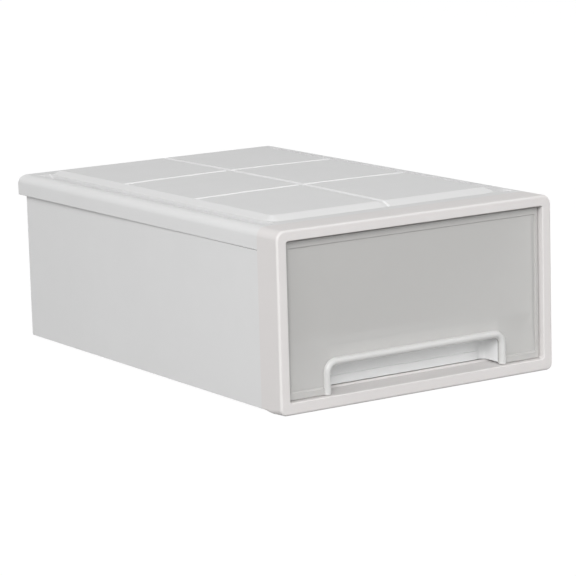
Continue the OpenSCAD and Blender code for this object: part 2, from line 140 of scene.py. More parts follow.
class NodeKit:
    """Adds nodes to one tree."""

    def __init__(self, tree: bpy.types.NodeTree) -> None:
        """Keeps the tree."""
        self.tree = tree

    def node(self, kind: str, settings: Optional[dict[str, Any]] = None,
             inputs: Optional[dict[Union[int, str], Value]] = None,
             output: Union[int, str] = 0) -> Wire:
        """Adds a node.

        Args:
            kind: the node's type.
            settings: its properties, set first.
            inputs: the values or links of its sockets, by index or name.
            output: the output that is returned.

        Returns:
            The chosen output, which is empty on a node that has none.
        """
        made = self.tree.nodes.new(kind)
        for key, value in (settings or {}).items():
            setattr(made, key, value)
        for key, value in (inputs or {}).items():
            self.feed(made.inputs[key], value)
        return Wire(self, made.outputs[output] if len(made.outputs) else None)

    def feed(self, socket: bpy.types.NodeSocket, value: Value) -> None:
        """Links a wire to a socket, or sets the socket's value.

        Args:
            socket: the socket.
            value: the wire, or the number, colour or material.
        """
        if isinstance(value, Wire):
            self.tree.links.new(value.socket, socket)
        else:
            socket.default_value = value


class ShapeKit(NodeKit):
    """A Geometry Nodes tree with named sizes, which ends in Realize Instances and Set Material."""

    def __init__(self, name: str) -> None:
        """Starts a tree that takes and gives geometry.

        Args:
            name: the tree's name.
        """
        tree = bpy.data.node_groups.new(name, "GeometryNodeTree")
        tree.is_modifier = True
        for way in ("INPUT", "OUTPUT"):
            tree.interface.new_socket("Geometry", in_out=way, socket_type="NodeSocketGeometry")
        super().__init__(tree)
        self.entry = tree.nodes.new("NodeGroupInput")
        self.sizes: dict[str, float] = {}

    def geometry(self) -> Wire:
        """Gives the geometry that comes in."""
        return Wire(self, self.entry.outputs["Geometry"])

    def size(self, name: str, value: float) -> Wire:
        """Adds a named input.

        Args:
            name: the input's name.
            value: its value for this piece.

        Returns:
            The input, for use in the tree.
        """
        item = self.tree.interface.new_socket(name, in_out="INPUT", socket_type="NodeSocketFloat")
        self.sizes[item.identifier] = value
        return Wire(self, self.entry.outputs[name])

    def grow(self, carrier: bpy.types.Object, shape: Wire, material: bpy.types.Material) -> None:
        """Ends the tree, runs it on an object and keeps the result as the object's plain mesh.

        Args:
            carrier: the object whose mesh goes in.
            shape: the geometry that comes out.
            material: the finish of the whole result.
        """
        real = self.node("GeometryNodeRealizeInstances", inputs={0: shape})
        done = self.node("GeometryNodeSetMaterial", inputs={"Geometry": real, "Material": material})
        self.feed(self.tree.nodes.new("NodeGroupOutput").inputs[0], done)
        modifier = carrier.modifiers.new("shape", "NODES")
        modifier.node_group = self.tree
        for identifier, value in self.sizes.items():
            modifier[identifier] = value
        settle(carrier)


# ---------------------------------------------------------------- finishes


class Grain(Enum):
    """How the mould's wall was finished: the size of a grain in metres and its bump's strength."""

    SATIN = (0.0011, 0.05)
    POLISH = (0.0040, 0.015)

    @property
    def pitch(self) -> float:
        """Size of one grain."""
        return self.value[0]

    @property
    def height(self) -> float:
        """Strength of the bump."""
        return self.value[1]


@dataclass(frozen=True)
class Noise:
    """One noise in the plastic: its scale, how many finer layers it has and how strong they are."""

    scale: float
    detail: float
    roughness: float = 0.5

    def wire(self, kit: NodeKit, place: Wire) -> Wire:
        """Adds the noise to a tree.

        Args:
            kit: adds nodes to the tree.
            place: where the noise is taken.

        Returns:
            The noise, which lies about 0.5.
        """
        inputs = {"Vector": place, "Scale": self.scale, "Detail": self.detail,
                  "Roughness": self.roughness}
        return kit.node("ShaderNodeTexNoise", {"noise_dimensions": "3D"}, inputs)


DRIFT = Noise(14.0, 3.0, 0.55)
FLOW = Noise(55.0, 4.0, 0.6)
MARKS = Noise(190.0, 5.0, 0.65)
RIPPLE = Noise(90.0, 1.0)
DRIFT_WEIGHT = 1.4
FLOW_WEIGHT = 0.6
RIPPLE_STRENGTH = 0.05
RIPPLE_DEPTH = 0.6 * MM
GRAIN_DEPTH = 0.5
GRAIN_SMOOTHNESS = 0.8
# the Mix node's sockets share their names, so its colour ones are told apart by place
MIX_FACTOR, MIX_A, MIX_B, MIX_RESULT = 0, 6, 7, 2


@dataclass(frozen=True)
class Moulding:
    """Injection-moulded plastic: grain, faint flow clouds, and handling marks in the gloss."""

    name: str
    slot: str
    colour: tuple[float, float, float, float]
    roughness: float
    grain: Grain = Grain.SATIN
    cloud: float = 0.03
    wear: float = 0.06
    specular: float = 0.5
    alpha: float = 1.0

    def material(self) -> bpy.types.Material:
        """Builds the material, or gives the one that was built before.

        Returns:
            The material.
        """
        known = bpy.data.materials.get(self.name)
        if known:
            return known
        material = bpy.data.materials.new(self.name)
        material.use_nodes = True
        material.node_tree.nodes.clear()
        material.diffuse_color = (*self.colour[:3], self.alpha)
        kit = NodeKit(material.node_tree)
        place = kit.node("ShaderNodeTexCoord", output="Object")
        drift, flow, marks, ripple = (noise.wire(kit, place)
                                      for noise in (DRIFT, FLOW, MARKS, RIPPLE))
        cloud = (drift - 0.5) * DRIFT_WEIGHT + (flow - 0.5) * FLOW_WEIGHT
        colour = kit.node("ShaderNodeMix", {"data_type": "RGBA", "blend_type": "MIX"},
                          {MIX_FACTOR: (cloud * 0.5 + 0.5).held(),
                           MIX_A: self._toned(1 - self.cloud),
                           MIX_B: self._toned(1 + self.cloud)}, MIX_RESULT)
        roughness = (flow - 0.5) * self.wear + (marks - 0.5) * self.wear + self.roughness
        grains = kit.node("ShaderNodeTexVoronoi", {"feature": "SMOOTH_F1"},
                          {"Vector": place, "Scale": 1.0 / self.grain.pitch,
                           "Smoothness": GRAIN_SMOOTHNESS})
        fine = kit.node("ShaderNodeBump", inputs={
            "Height": grains, "Strength": self.grain.height,
            "Distance": self.grain.pitch * GRAIN_DEPTH})
        broad = kit.node("ShaderNodeBump", inputs={
            "Height": ripple, "Strength": RIPPLE_STRENGTH, "Distance": RIPPLE_DEPTH,
            "Normal": fine})
        shader = kit.node("ShaderNodeBsdfPrincipled", inputs={
            "Base Color": colour, "Roughness": roughness.held(), "Normal": broad,
            "Specular IOR Level": self.specular, "Alpha": self.alpha})
        kit.node("ShaderNodeOutputMaterial", inputs={"Surface": shader})
        return material

    def _toned(self, factor: float) -> tuple[float, float, float, float]:
        """Gives the colour made lighter or darker."""
        return (*(min(1.0, part * factor) for part in self.colour[:3]), 1.0)

    def dress(self, obj: bpy.types.Object) -> None:
        """Puts the material on an object as its only one."""
        obj.data.materials.clear()
        obj.data.materials.append(self.material())


SHELL = Moulding("case shell", "case_plastic", shade(214, 214, 214), 0.58, specular=0.1)
BEZEL = Moulding("front frame shell", "warm_white_plastic", shade(212, 209, 208), 0.52,
                 specular=0.15)
CLEAR = Moulding("clear smoky front", "clear_front_plastic", shade(218, 217, 215), 0.20,
                 Grain.POLISH, cloud=0.02, wear=0.04, alpha=0.50)
FROSTED = Moulding("frosted tub", "frosted_plastic", shade(232, 233, 233), 0.38, alpha=0.92)
BEAD = Moulding("pull bead", "pull_plastic", shade(228, 228, 227), 0.30, alpha=0.66)


# ---------------------------------------------------------------- meshes

WELD = 1e-6
EMPTY_FACE = 1e-7
FLAT_ANGLE = math.radians(0.6)
BEVELLED_FROM = math.radians(32)
ROUNDED_FROM = math.radians(30)
ROUNDED_SEGMENTS = 3
NORMAL_WEIGHT = 80
CORNER_STEPS = 8
BAND_PITCH = 1.2 * MM
LEAST_GAP = 0.05 * MM
PLACES = 7
SQUARE = ((-1, -1), (1, -1), (1, 1), (-1, 1))


def new_object(name: str, points: Iterable[Sequence[float]], faces: Iterable[Sequence[int]],
               edges: Iterable[Sequence[int]] = ()) -> bpy.types.Object:
    """Makes an object at the origin from points and faces or loose edges.

    Args:
        name: the object's and its mesh's name.
        points: the vertices.
        faces: the faces, as indices.
        edges: edges that bound no face, as indices.

    Returns:
        The object, linked to the scene.
    """
    mesh = bpy.data.meshes.new(name)
    mesh.from_pydata([tuple(point) for point in points], list(edges),
                     [tuple(face) for face in faces])
    obj = bpy.data.objects.new(name, mesh)
    bpy.context.scene.collection.objects.link(obj)
    return obj


@contextmanager
def editing(obj: bpy.types.Object) -> Iterator[bmesh.types.BMesh]:
    """Opens an object's mesh for editing, and writes it back when the work is done.

    Args:
        obj: the object.

    Yields:
        The mesh to edit.
    """
    work = bmesh.new()
    work.from_mesh(obj.data)
    yield work
    work.to_mesh(obj.data)
    work.free()


def tidy(obj: bpy.types.Object) -> None:
    """Merges doubled points, clears empty faces and points all faces outwards.

    Args:
        obj: the object.
    """
    with editing(obj) as work:
        bmesh.ops.remove_doubles(work, verts=work.verts, dist=WELD)
        bmesh.ops.dissolve_degenerate(work, dist=EMPTY_FACE, edges=work.edges)
        bmesh.ops.recalc_face_normals(work, faces=work.faces)


def settle(obj: bpy.types.Object) -> None:
    """Turns what the modifiers make into the object's plain mesh, and removes them.

    Args:
        obj: the object.
    """
    graph = bpy.context.evaluated_depsgraph_get()
    mesh = bpy.data.meshes.new_from_object(obj.evaluated_get(graph),
                                           preserve_all_data_layers=True, depsgraph=graph)
    obj.modifiers.clear()
    old, obj.data = obj.data, mesh
    mesh.name = obj.name
    bpy.data.meshes.remove(old)


def polish(obj: bpy.types.Object, edge: float = 0.0, segments: int = 2,
           sharp: float = 38.0) -> None:
    """Softens edges, shades smoothly and keeps large flats flat.

    Args:
        obj: the object.
        edge: width of the softened edges in metres, or 0 for none.
        segments: how many faces go round a softened edge.
        sharp: the angle from which an edge is shaded sharp, in degrees.
    """
    if edge:
        bevel = obj.modifiers.new("edges", "BEVEL")
        bevel.width, bevel.segments, bevel.limit_method = edge, segments, "ANGLE"
        bevel.angle_limit, bevel.use_clamp_overlap = BEVELLED_FROM, True
        settle(obj)
    obj.data.shade_smooth()
    obj.data.set_sharp_from_angle(angle=math.radians(sharp))
    weighted = obj.modifiers.new("normals", "WEIGHTED_NORMAL")
    weighted.keep_sharp, weighted.weight = True, NORMAL_WEIGHT
    settle(obj)


def merged_copy(node: str, name: str) -> bpy.types.Object:
    """Copies a CAD node as one merged mesh of large faces.

    Args:
        node: the CAD node's name.
        name: the copy's name.

    Returns:
        The copy.
    """
    obj = bpy.data.objects.new(name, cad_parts[node].data.copy())
    obj.data.name = name
    bpy.context.scene.collection.objects.link(obj)
    with editing(obj) as work:
        bmesh.ops.remove_doubles(work, verts=work.verts, dist=WELD)
        bmesh.ops.dissolve_limit(work, angle_limit=FLAT_ANGLE, verts=work.verts, edges=work.edges)
    return obj


def round_edges(obj: bpy.types.Object, width: float,
                chosen: Callable[[Vector, Vector], bool]) -> None:
    """Rounds the sharp edges of a merged copy that a rule picks.

    Args:
        obj: the object.
        width: width of the rounding.
        chosen: says from an edge's two ends whether it is rounded.
    """
    with editing(obj) as work:
        edges = [edge for edge in work.edges
                 if len(edge.link_faces) == 2 and edge.calc_face_angle() > ROUNDED_FROM
                 and chosen(edge.verts[0].co, edge.verts[1].co)]
        bmesh.ops.bevel(work, geom=edges, offset=width, segments=ROUNDED_SEGMENTS, profile=0.5,
                        affect="EDGES", clamp_overlap=True)


def quarter(steps: int = CORNER_STEPS) -> list[float]:
    """Gives the angles of a quarter turn from 0, in radians and in equal steps."""
    return [math.radians(90 * step / steps) for step in range(steps + 1)]


def loft(loops: Sequence[np.ndarray]) -> tuple[list, list]:
    """Joins closed loops of equal length by quads, and the last loop to the first.

    Args:
        loops: the loops, each an array of points.

    Returns:
        The points and the faces.
    """
    count, width = len(loops), len(loops[0])
    faces = []
    for row in range(count):
        near, far = row * width, (row + 1) % count * width
        for place in range(width):
            after = (place + 1) % width
            faces.append((near + place, near + after, far + after, far + place))
    return [point for loop in loops for point in loop], faces


def rounded_outline(half_x: float, low: float, high: float, radius: float,
                    foot: Optional[float] = None) -> np.ndarray:
    """Draws an upright rectangle with round corners, anticlockwise from the lower right.

    Args:
        half_x: half of its width.
        low, high: its lowest and highest level.
        radius: radius of its corners.
        foot: radius of its lower corners where it differs.

    Returns:
        An array of X and Z pairs.
    """
    foot = radius if foot is None else foot
    corners = ((1, low + foot, foot), (1, high - radius, radius),
               (-1, high - radius, radius), (-1, low + foot, foot))
    points = []
    for turn, (side, level, bend) in enumerate(corners):
        for part in quarter():
            angle = (turn - 1) * math.pi / 2 + part
            points.append((side * (half_x - bend) + bend * math.cos(angle),
                           level + bend * math.sin(angle)))
    return np.array(points)


def at_y(outline: np.ndarray, y: float) -> np.ndarray:
    """Stands an outline of X and Z pairs at a distance back from the front face."""
    return np.column_stack([outline[:, 0], np.full(len(outline), from_front(y)), outline[:, 1]])


def ease(part: float) -> float:
    """Rises smoothly from 0 to 1."""
    part = min(1.0, max(0.0, part))
    return part * part * (3 - 2 * part)


def lines_about(low: float, high: float, marks: Iterable[float], coarse: float,
                offsets: Sequence[float], bands: Sequence[tuple[float, float]]) -> list[float]:
    """Spaces grid lines, close together about the given marks and wide apart between them.

    Args:
        low, high: the first and the last line.
        marks: where the surface bends.
        coarse: the widest spacing.
        offsets: distances of the close lines from a mark, on both sides.
        bands: stretches that get evenly close lines.

    Returns:
        The lines in rising order.
    """
    places = {round(low, PLACES), round(high, PLACES)}
    for first, last in bands:
        count = math.ceil((last - first) / BAND_PITCH)
        places |= {round(first + (last - first) * step / count, PLACES)
                   for step in range(count + 1)}
    for mark in marks:
        for offset in (0.0, *offsets, *(-offset for offset in offsets)):
            if low < mark + offset < high:
                places.add(round(mark + offset, PLACES))
    close = sorted(places)
    found = [close[0]]
    for after in close[1:]:
        start = found[-1]
        gap = after - start
        if gap < LEAST_GAP:
            continue
        parts = max(1, math.ceil(gap / coarse))
        found.extend(start + gap * part / parts for part in range(1, parts + 1))
    return found


# ---------------------------------------------------------------- parts of the case


@dataclass
class Piece:
    """What each sub-assembly shares: how a finished piece joins the model."""

    body: str = "case"

    def place(self, obj: bpy.types.Object, finish: Moulding, *nodes: str) -> None:
        """Lets a piece ride on its body, take its finish and stand for its CAD nodes.

        Args:
            obj: the piece.
            finish: its finish.
            nodes: the CAD nodes that it replaces.
        """
        finish.dress(obj)
        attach(obj, self.body)
        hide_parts(*nodes)
        triangles = sum(len(face.vertices) - 2 for face in obj.data.polygons)
        log.info("%s: on %s, %d triangles, %s", obj.name, self.body, triangles, finish.name)


@dataclass
class FrontFrame(Piece):
    """Collar round the mouth, with soft outer edges and an underside that rises to the boards."""

    width: float = BOX_WIDTH
    height: float = RIM_Z
    depth: float = COLLAR_DEPTH
    corner: float = 7 * MM
    front_foot: float = 5 * MM
    edge: float = 1.8 * MM
    mouth_half: float = 112 * MM
    mouth_low: float = 8.9 * MM
    mouth_high: float = 122.6 * MM
    mouth_corner: float = 1.5 * MM
    mouth_edge: float = 0.8 * MM
    mouth_steps: int = 4
    heel_y: float = 11 * MM
    heel_rise: float = 2 * MM
    foot_corner: float = 0.9 * MM
    side_steps: int = 14
    glide_w: float = 2.4 * MM
    glide_rise: float = 1.4 * MM
    # the glide rib's section: how far back from its start, and the share of its rise
    glide_section: tuple[tuple[float, float], ...] = (
        (-0.4 * MM, 0.0), (0.0, 0.25), (0.3 * MM, 0.75), (0.7 * MM, 1.0),
        (1.6 * MM, 1.0), (2.1 * MM, 0.85), (2.4 * MM, 0.6))

    def outer(self, y: float, inset: float) -> np.ndarray:
        """Gives one outer loop of the collar.

        Args:
            y: how far back it stands.
            inset: how far it is drawn in.

        Returns:
            The loop's points.
        """
        low = self.heel_rise * ease((y - self.heel_y) / (self.depth - self.heel_y)) + inset
        back = (y - self.edge) / (self.depth - self.edge)
        foot = self.front_foot + (self.foot_corner - self.front_foot) * ease(back)
        return at_y(rounded_outline(self.width / 2 - inset, low, self.height - inset,
                                    self.corner - inset, foot - inset), y)

    def inner(self, y: float, grown: float, lift: float = 0.0) -> np.ndarray:
        """Gives the mouth's loop at a distance back, grown by a margin, with its sill lifted."""
        return at_y(rounded_outline(self.mouth_half + grown, self.mouth_low - grown + lift,
                                    self.mouth_high + grown, self.mouth_corner + grown), y)

    def build(self) -> None:
        """Lofts the collar with its glide rib and places it."""
        run = self.depth - self.edge
        loops = [self.outer(self.depth - run * step / self.side_steps, 0.0)
                 for step in range(self.side_steps)]
        loops += [self.outer(self.edge * (1 - math.sin(angle)), self.edge * (1 - math.cos(angle)))
                  for angle in quarter()]
        loops += [self.inner(self.mouth_edge * (1 - math.cos(angle)),
                             self.mouth_edge * (1 - math.sin(angle)))
                  for angle in quarter(self.mouth_steps)]
        rib = self.depth - self.glide_w
        loops += [self.inner(rib + back, 0.0, self.glide_rise * share)
                  for back, share in self.glide_section]
        obj = new_object("front_frame_shell", *loft(loops))
        tidy(obj)
        polish(obj)
        self.place(obj, BEZEL, "front_frame")


@dataclass
class TopBoard(Piece):
    """Top of the case: rims, channels, the panelled stacking platform, shoulder and skirt."""

    half: float = BOX_WIDTH / 2
    front_y: float = COLLAR_DEPTH
    rear_y: float = BOX_DEPTH
    rim_z: float = RIM_Z
    rim_edge: float = 0.4 * MM
    rear_rim_edge: float = 1 * MM
    deck_z: float = 130.3 * MM
    skirt_z: float = 114.5 * MM
    shoulder: float = 7 * MM
    plan_corner: float = 2.5 * MM
    plan_corner_steps: int = 6
    # the skirt's rounded lower edge: height above its end, and how far in
    hem: tuple[tuple[float, float], ...] = ((0.6 * MM, 0.0), (0.15 * MM, 0.1 * MM),
                                            (0.0, 0.35 * MM))
    wall: float = 2.3 * MM
    channel_in: float = 100.5 * MM
    channel_out: float = 110.5 * MM
    channel_depth: float = 3.4 * MM
    channel_wall: float = 0.08 * MM
    ramp_y: float = 32 * MM
    ramp: float = 20 * MM
    platform_y: float = 36 * MM
    platform_rear_y: float = 355 * MM
    bevel_x: float = 6.5 * MM
    bevel_y: float = 9 * MM
    rise: float = 3.5 * MM
    top_blend: float = 0.5 * MM
    foot_blend: float = 0.2 * MM
    crown: float = 0.87 * MM
    columns: int = 2
    rows: int = 3
    corner: float = 1.3
    groove: float = 5.2 * MM
    groove_wall: float = 1.1 * MM
    groove_depth: float = 1.25 * MM
    groove_end: float = 0.6 * MM
    # the long groove reaches its full depth where the bevel has risen by 1 / groove_onset
    groove_onset: float = 4.0
    tab_x: float = 60 * MM
    tab_w: float = 20 * MM
    tab_t: float = 3.4 * MM
    tab_face_y: float = 70 * MM
    tab_low_z: float = 121.6 * MM
    tab_root: float = 0.2 * MM
    tab_chamfer: float = 0.3 * MM
    tab_chamfer_h: float = 0.4 * MM
    grid_pitch: float = 6 * MM
    bend_offsets: tuple[float, ...] = (0.08 * MM, 0.25 * MM, 0.55 * MM, 1.0 * MM, 1.7 * MM)

    def sheet(self) -> bpy.types.Object:
        """Makes the flat grid that the rule raises, with its lines close together at each bend.

        Returns:
            The grid.
        """
        field_front = self.platform_y + self.bevel_y
        field_rear = self.platform_rear_y - self.bevel_y
        field_half = self.channel_in - self.bevel_x
        pitch = (field_rear - field_front) / self.rows
        bed = self.groove / 2 - self.groove_wall
        walls = (-self.groove / 2, -bed, bed, self.groove / 2)
        bends_x = [side * place for side in (1, -1)
                   for place in (field_half, self.channel_in, self.channel_out)]
        bends_x += [field_half * (2 * column / self.columns - 1) + wall
                    for column in range(1, self.columns) for wall in walls]
        bends_y = [self.ramp_y, self.ramp_y + self.ramp, self.platform_y, field_front, field_rear,
                   self.platform_rear_y - self.ramp / 2, self.platform_rear_y]
        bends_y += [field_front + row * pitch + wall
                    for row in range(1, self.rows) for wall in walls]
        round_x, round_y = self.corner * self.bevel_x, self.corner * self.bevel_y
        bands_x = [(self.channel_in - round_x, self.channel_in),
                   (-self.channel_in, -self.channel_in + round_x)]
        bands_y = [(self.platform_y, self.platform_y + round_y),
                   (self.platform_rear_y - round_y, self.platform_rear_y)]
        side = self.half - self.shoulder
        xs = lines_about(-side, side, bends_x, self.grid_pitch, self.bend_offsets, bands_x)
        ys = lines_about(self.front_y, self.rear_y - self.shoulder, bends_y, self.grid_pitch,
                         self.bend_offsets, bands_y)
        points = [(x, from_front(y), self.deck_z) for y in ys for x in xs]
        across = len(xs)
        starts = [row * across + place for row in range(len(ys) - 1)
                  for place in range(across - 1)]
        faces = [(start, start + 1, start + across + 1, start + across) for start in starts]
        return new_object("top_board_shell", points, faces)

    def raise_panels(self, obj: bpy.types.Object) -> None:
        """Raises the grid by the rule that shapes panels, bevels, grooves, channels and rims.

        Args:
            obj: the grid.
        """
        kit = ShapeKit("top board relief")
        half = kit.size("Platform half width", self.channel_in)
        front = kit.size("Platform front", from_front(self.platform_y))
        rear = kit.size("Platform rear", from_front(self.platform_rear_y))
        bevel_x = kit.size("Side bevel width", self.bevel_x)
        bevel_y = kit.size("End bevel width", self.bevel_y)
        rise = kit.size("Platform rise", self.rise)
        crown = kit.size("Crown", self.crown)
        columns = kit.size("Columns", float(self.columns))
        rows = kit.size("Rows", float(self.rows))
        corner = kit.size("Corner radius in bevels", self.corner)
        groove = kit.size("Groove width", self.groove)
        groove_wall = kit.size("Groove wall width", self.groove_wall)
        groove_depth = kit.size("Groove depth", self.groove_depth)
        channel_out = kit.size("Channel outer edge", self.channel_out)
        channel_depth = kit.size("Channel depth", self.channel_depth)
        ramp_front = kit.size("Ramp front", from_front(self.ramp_y))
        ramp = kit.size("Ramp length", self.ramp)
        lift = kit.size("Rim above deck", self.rim_z - self.deck_z)
        rear_edge = kit.size("Rear edge", from_front(self.rear_y - self.shoulder))
        place = kit.node("GeometryNodeInputPosition")
        x, y = (kit.node("ShaderNodeSeparateXYZ", inputs={0: place}, output=axis)
                for axis in ("X", "Y"))
        aside = abs(x)
        # the bevelled platform, whose corners are cones
        short_x = (corner - (half - aside) / bevel_x).math("MAXIMUM", 0.0)
        short_y = (corner - (y - front).math("MINIMUM", rear - y) / bevel_y).math("MAXIMUM", 0.0)
        inward = corner - (short_x * short_x + short_y * short_y).math("SQRT")
        bevel = (inward * rise).math("SMOOTH_MIN", rise, self.top_blend)
        bevel = bevel.math("SMOOTH_MAX", 0.0, self.foot_blend)
        # the crown
        field_half = half - bevel_x
        middle = (front + rear) / 2
        field_long = (rear - front) / 2 - bevel_y
        u = (aside / field_half).math("MINIMUM", 1.0)
        v = (abs(y - middle) / field_long).math("MINIMUM", 1.0)
        dome = crown * (1 - u * u) * (1 - v * v)
        # the grooves between the panels
        column = (x + field_half) / (2 * field_half) * columns
        row = (y - middle + field_long) / (2 * field_long) * rows
        to_column, inner_column = self.next_groove(column, columns)
        to_row, inner_row = self.next_groove(row, rows)
        to_column = to_column * 2 * field_half / columns
        to_row = to_row * 2 * field_long / rows
        on_platform = (bevel / rise * self.groove_onset).held()
        in_field = ((field_half - aside) / self.groove_end + 1).held()
        cut_column = ((groove / 2 - to_column) / groove_wall).held() * inner_column * on_platform
        cut_row = ((groove / 2 - to_row) / groove_wall).held() * inner_row * in_field
        cut = cut_column.math("MAXIMUM", cut_row) * groove_depth
        # the channels with their ramps
        inside = ((aside - half) / self.channel_wall).held()
        outside = ((channel_out - aside) / self.channel_wall).held()
        ends = ((y - ramp_front) / ramp).held() * ((rear - y) / (ramp / 2)).held()
        # the rims
        side_rim = ((aside - channel_out + self.rim_edge / 2) / self.rim_edge).held()
        rear_rim = ((y - rear_edge) / self.rear_rim_edge + 1).held()
        rim = side_rim.math("MAXIMUM", rear_rim)
        height = bevel + dome - cut - channel_depth * (inside * outside) * ends + rim * lift
        offset = kit.node("ShaderNodeCombineXYZ", inputs={"Z": height})
        raised = kit.node("GeometryNodeSetPosition",
                          inputs={"Geometry": kit.geometry(), "Offset": offset})
        kit.grow(obj, raised, SHELL.material())

    @staticmethod
    def next_groove(along: Wire, count: Wire) -> tuple[Wire, Wire]:
        """Finds the nearest line between panels.

        Args:
            along: how far along the field a point lies, counted in panels.
            count: how many panels there are.

        Returns:
            The distance to the line in panels, and 1 where that line isn't the field's own edge.
        """
        distance = abs(along - along.math("ADD", 0.5).math("FLOOR"))
        past_first = (along - 0.5).math("GREATER_THAN", 0.0)
        before_last = (count - 0.5 - along).math("GREATER_THAN", 0.0)
        return distance, past_first * before_last

    def rim_loop(self, inset: float, z: float, radius: float, xs: Sequence[float],
                 ys: Sequence[float]) -> list[tuple[float, float, float]]:
        """Gives one loop of the shoulder and skirt, from the left front round the rear.

        Args:
            inset: how far the loop lies inside the skirt's outside.
            z: its height.
            radius: radius of its rear corners.
            xs, ys: the grid's lines, so that the loop has a point for each.

        Returns:
            The points.
        """
        side, rear = self.half - inset - radius, self.rear_y - inset - radius
        grid_side, grid_rear = self.half - self.shoulder, self.rear_y - self.shoulder
        stretch = (rear - self.front_y) / (grid_rear - self.front_y)
        run = [self.front_y + (y - self.front_y) * stretch for y in ys[:-1]]
        turn = [(radius * math.sin(angle), radius * math.cos(angle))
                for angle in quarter(self.plan_corner_steps)]
        plan = [(-side - radius, y) for y in run]
        plan += [(-side - along, rear + back) for back, along in turn]
        plan += [(x / grid_side * side, rear + radius) for x in xs[1:-1]]
        plan += [(side + along, rear + back) for along, back in turn]
        plan += [(side + radius, y) for y in reversed(run)]
        return [(x, from_front(y), z) for x, y in plan]

    def hang_skirt(self, obj: bpy.types.Object) -> None:
        """Adds the shoulder and the skirt round the raised grid.

        Args:
            obj: the raised grid.
        """
        places = np.array([vertex.co[:] for vertex in obj.data.vertices])
        xs = sorted({round(x, PLACES) for x in places[:, 0]})
        ys = sorted({round(y + BOX_DEPTH / 2, PLACES) for y in places[:, 1]})
        loops = [self.rim_loop(self.shoulder * (1 - math.sin(angle)),
                               self.rim_z - self.shoulder * (1 - math.cos(angle)),
                               self.plan_corner * math.sin(angle), xs, ys) for angle in quarter()]
        loops += [self.rim_loop(inset, self.skirt_z + above, self.plan_corner - inset, xs, ys)
                  for above, inset in self.hem]
        with editing(obj) as work:
            rows = [[work.verts.new(point) for point in loop] for loop in loops]
            for upper, lower in zip(rows, rows[1:]):
                for place in range(len(upper) - 1):
                    work.faces.new((upper[place], lower[place], lower[place + 1],
                                    upper[place + 1]))

    def tabs(self) -> tuple[list, list]:
        """Gives the tabs under the deck that stop the drawer.

        Returns:
            Their points and faces.
        """
        points, faces = [], []
        middle_y = self.tab_face_y - self.tab_t / 2
        rings = ((self.tab_low_z, self.tab_chamfer), (self.tab_low_z + self.tab_chamfer_h, 0.0),
                 (self.deck_z - self.wall + self.tab_root, 0.0))
        for side in (-1, 1):
            start = len(points)
            points += [(side * self.tab_x + x * (self.tab_w / 2 - inset),
                        from_front(middle_y + y * (self.tab_t / 2 - inset)), z)
                       for z, inset in rings for x, y in SQUARE]
            faces += [(row + place, row + (place + 1) % 4, row + 4 + (place + 1) % 4,
                       row + 4 + place) for row in (start, start + 4) for place in range(4)]
            faces += [(start + 3, start + 2, start + 1, start),
                      (start + 8, start + 9, start + 10, start + 11)]
        return points, faces

    def build(self) -> None:
        """Raises the panels, hangs the skirt, gives the shell its thickness and places it."""
        obj = self.sheet()
        self.raise_panels(obj)
        self.hang_skirt(obj)
        tidy(obj)
        solid = obj.modifiers.new("wall", "SOLIDIFY")
        solid.thickness, solid.offset, solid.use_even_offset = self.wall, -1.0, False
        settle(obj)
        points, faces = self.tabs()
        with editing(obj) as work:
            made = [work.verts.new(point) for point in points]
            for face in faces:
                work.faces.new([made[index] for index in face])
        polish(obj, sharp=50.0)
        self.place(obj, SHELL, "top_board")


@dataclass
class Boards(Piece):
    """Side, back and base boards that snap together under the top."""

    foot_z: float = 2 * MM
    foot_slack: float = 0.01 * MM
    foot_edge: float = 0.9 * MM
    base_edge: float = 0.4 * MM
    walls: tuple[str, ...] = ("left_side_board", "right_side_board", "back_board")

    def build(self) -> None:
        """Rounds the lower edges of a merged copy of each wall, softens the base, places them."""
        lowest = self.foot_z + self.foot_slack
        for node in self.walls:
            obj = merged_copy(node, node + "_shell")
            round_edges(obj, self.foot_edge, lambda a, b: max(a.z, b.z) < lowest)
            polish(obj)
            self.place(obj, SHELL, node)
        obj = merged_copy("base_board", "base_board_shell")
        polish(obj, edge=self.base_edge)
        self.place(obj, SHELL, "base_board")


# ---------------------------------------------------------------- parts of the drawer


@dataclass
class DrawerTub(Piece):
    """Frosted tub with its ledge, flange and lugs."""

    body: str = "drawer"
    edge: float = 0.5 * MM

    def build(self) -> None:
        """Softens a merged copy of the tub and places it."""
        obj = merged_copy("drawer_tub", "drawer_tub_shell")
        polish(obj, edge=self.edge)
        self.place(obj, FROSTED, "drawer_tub")


@dataclass
class DrawerFront(Piece):
    """Clear front with a raised band round it."""

    body: str = "drawer"
    edge: float = 0.45 * MM

    def build(self) -> None:
        """Softens a merged copy of the front and places it."""
        obj = merged_copy("drawer_front", "drawer_front_pane")
        polish(obj, edge=self.edge, segments=3)
        self.place(obj, CLEAR, "drawer_front")


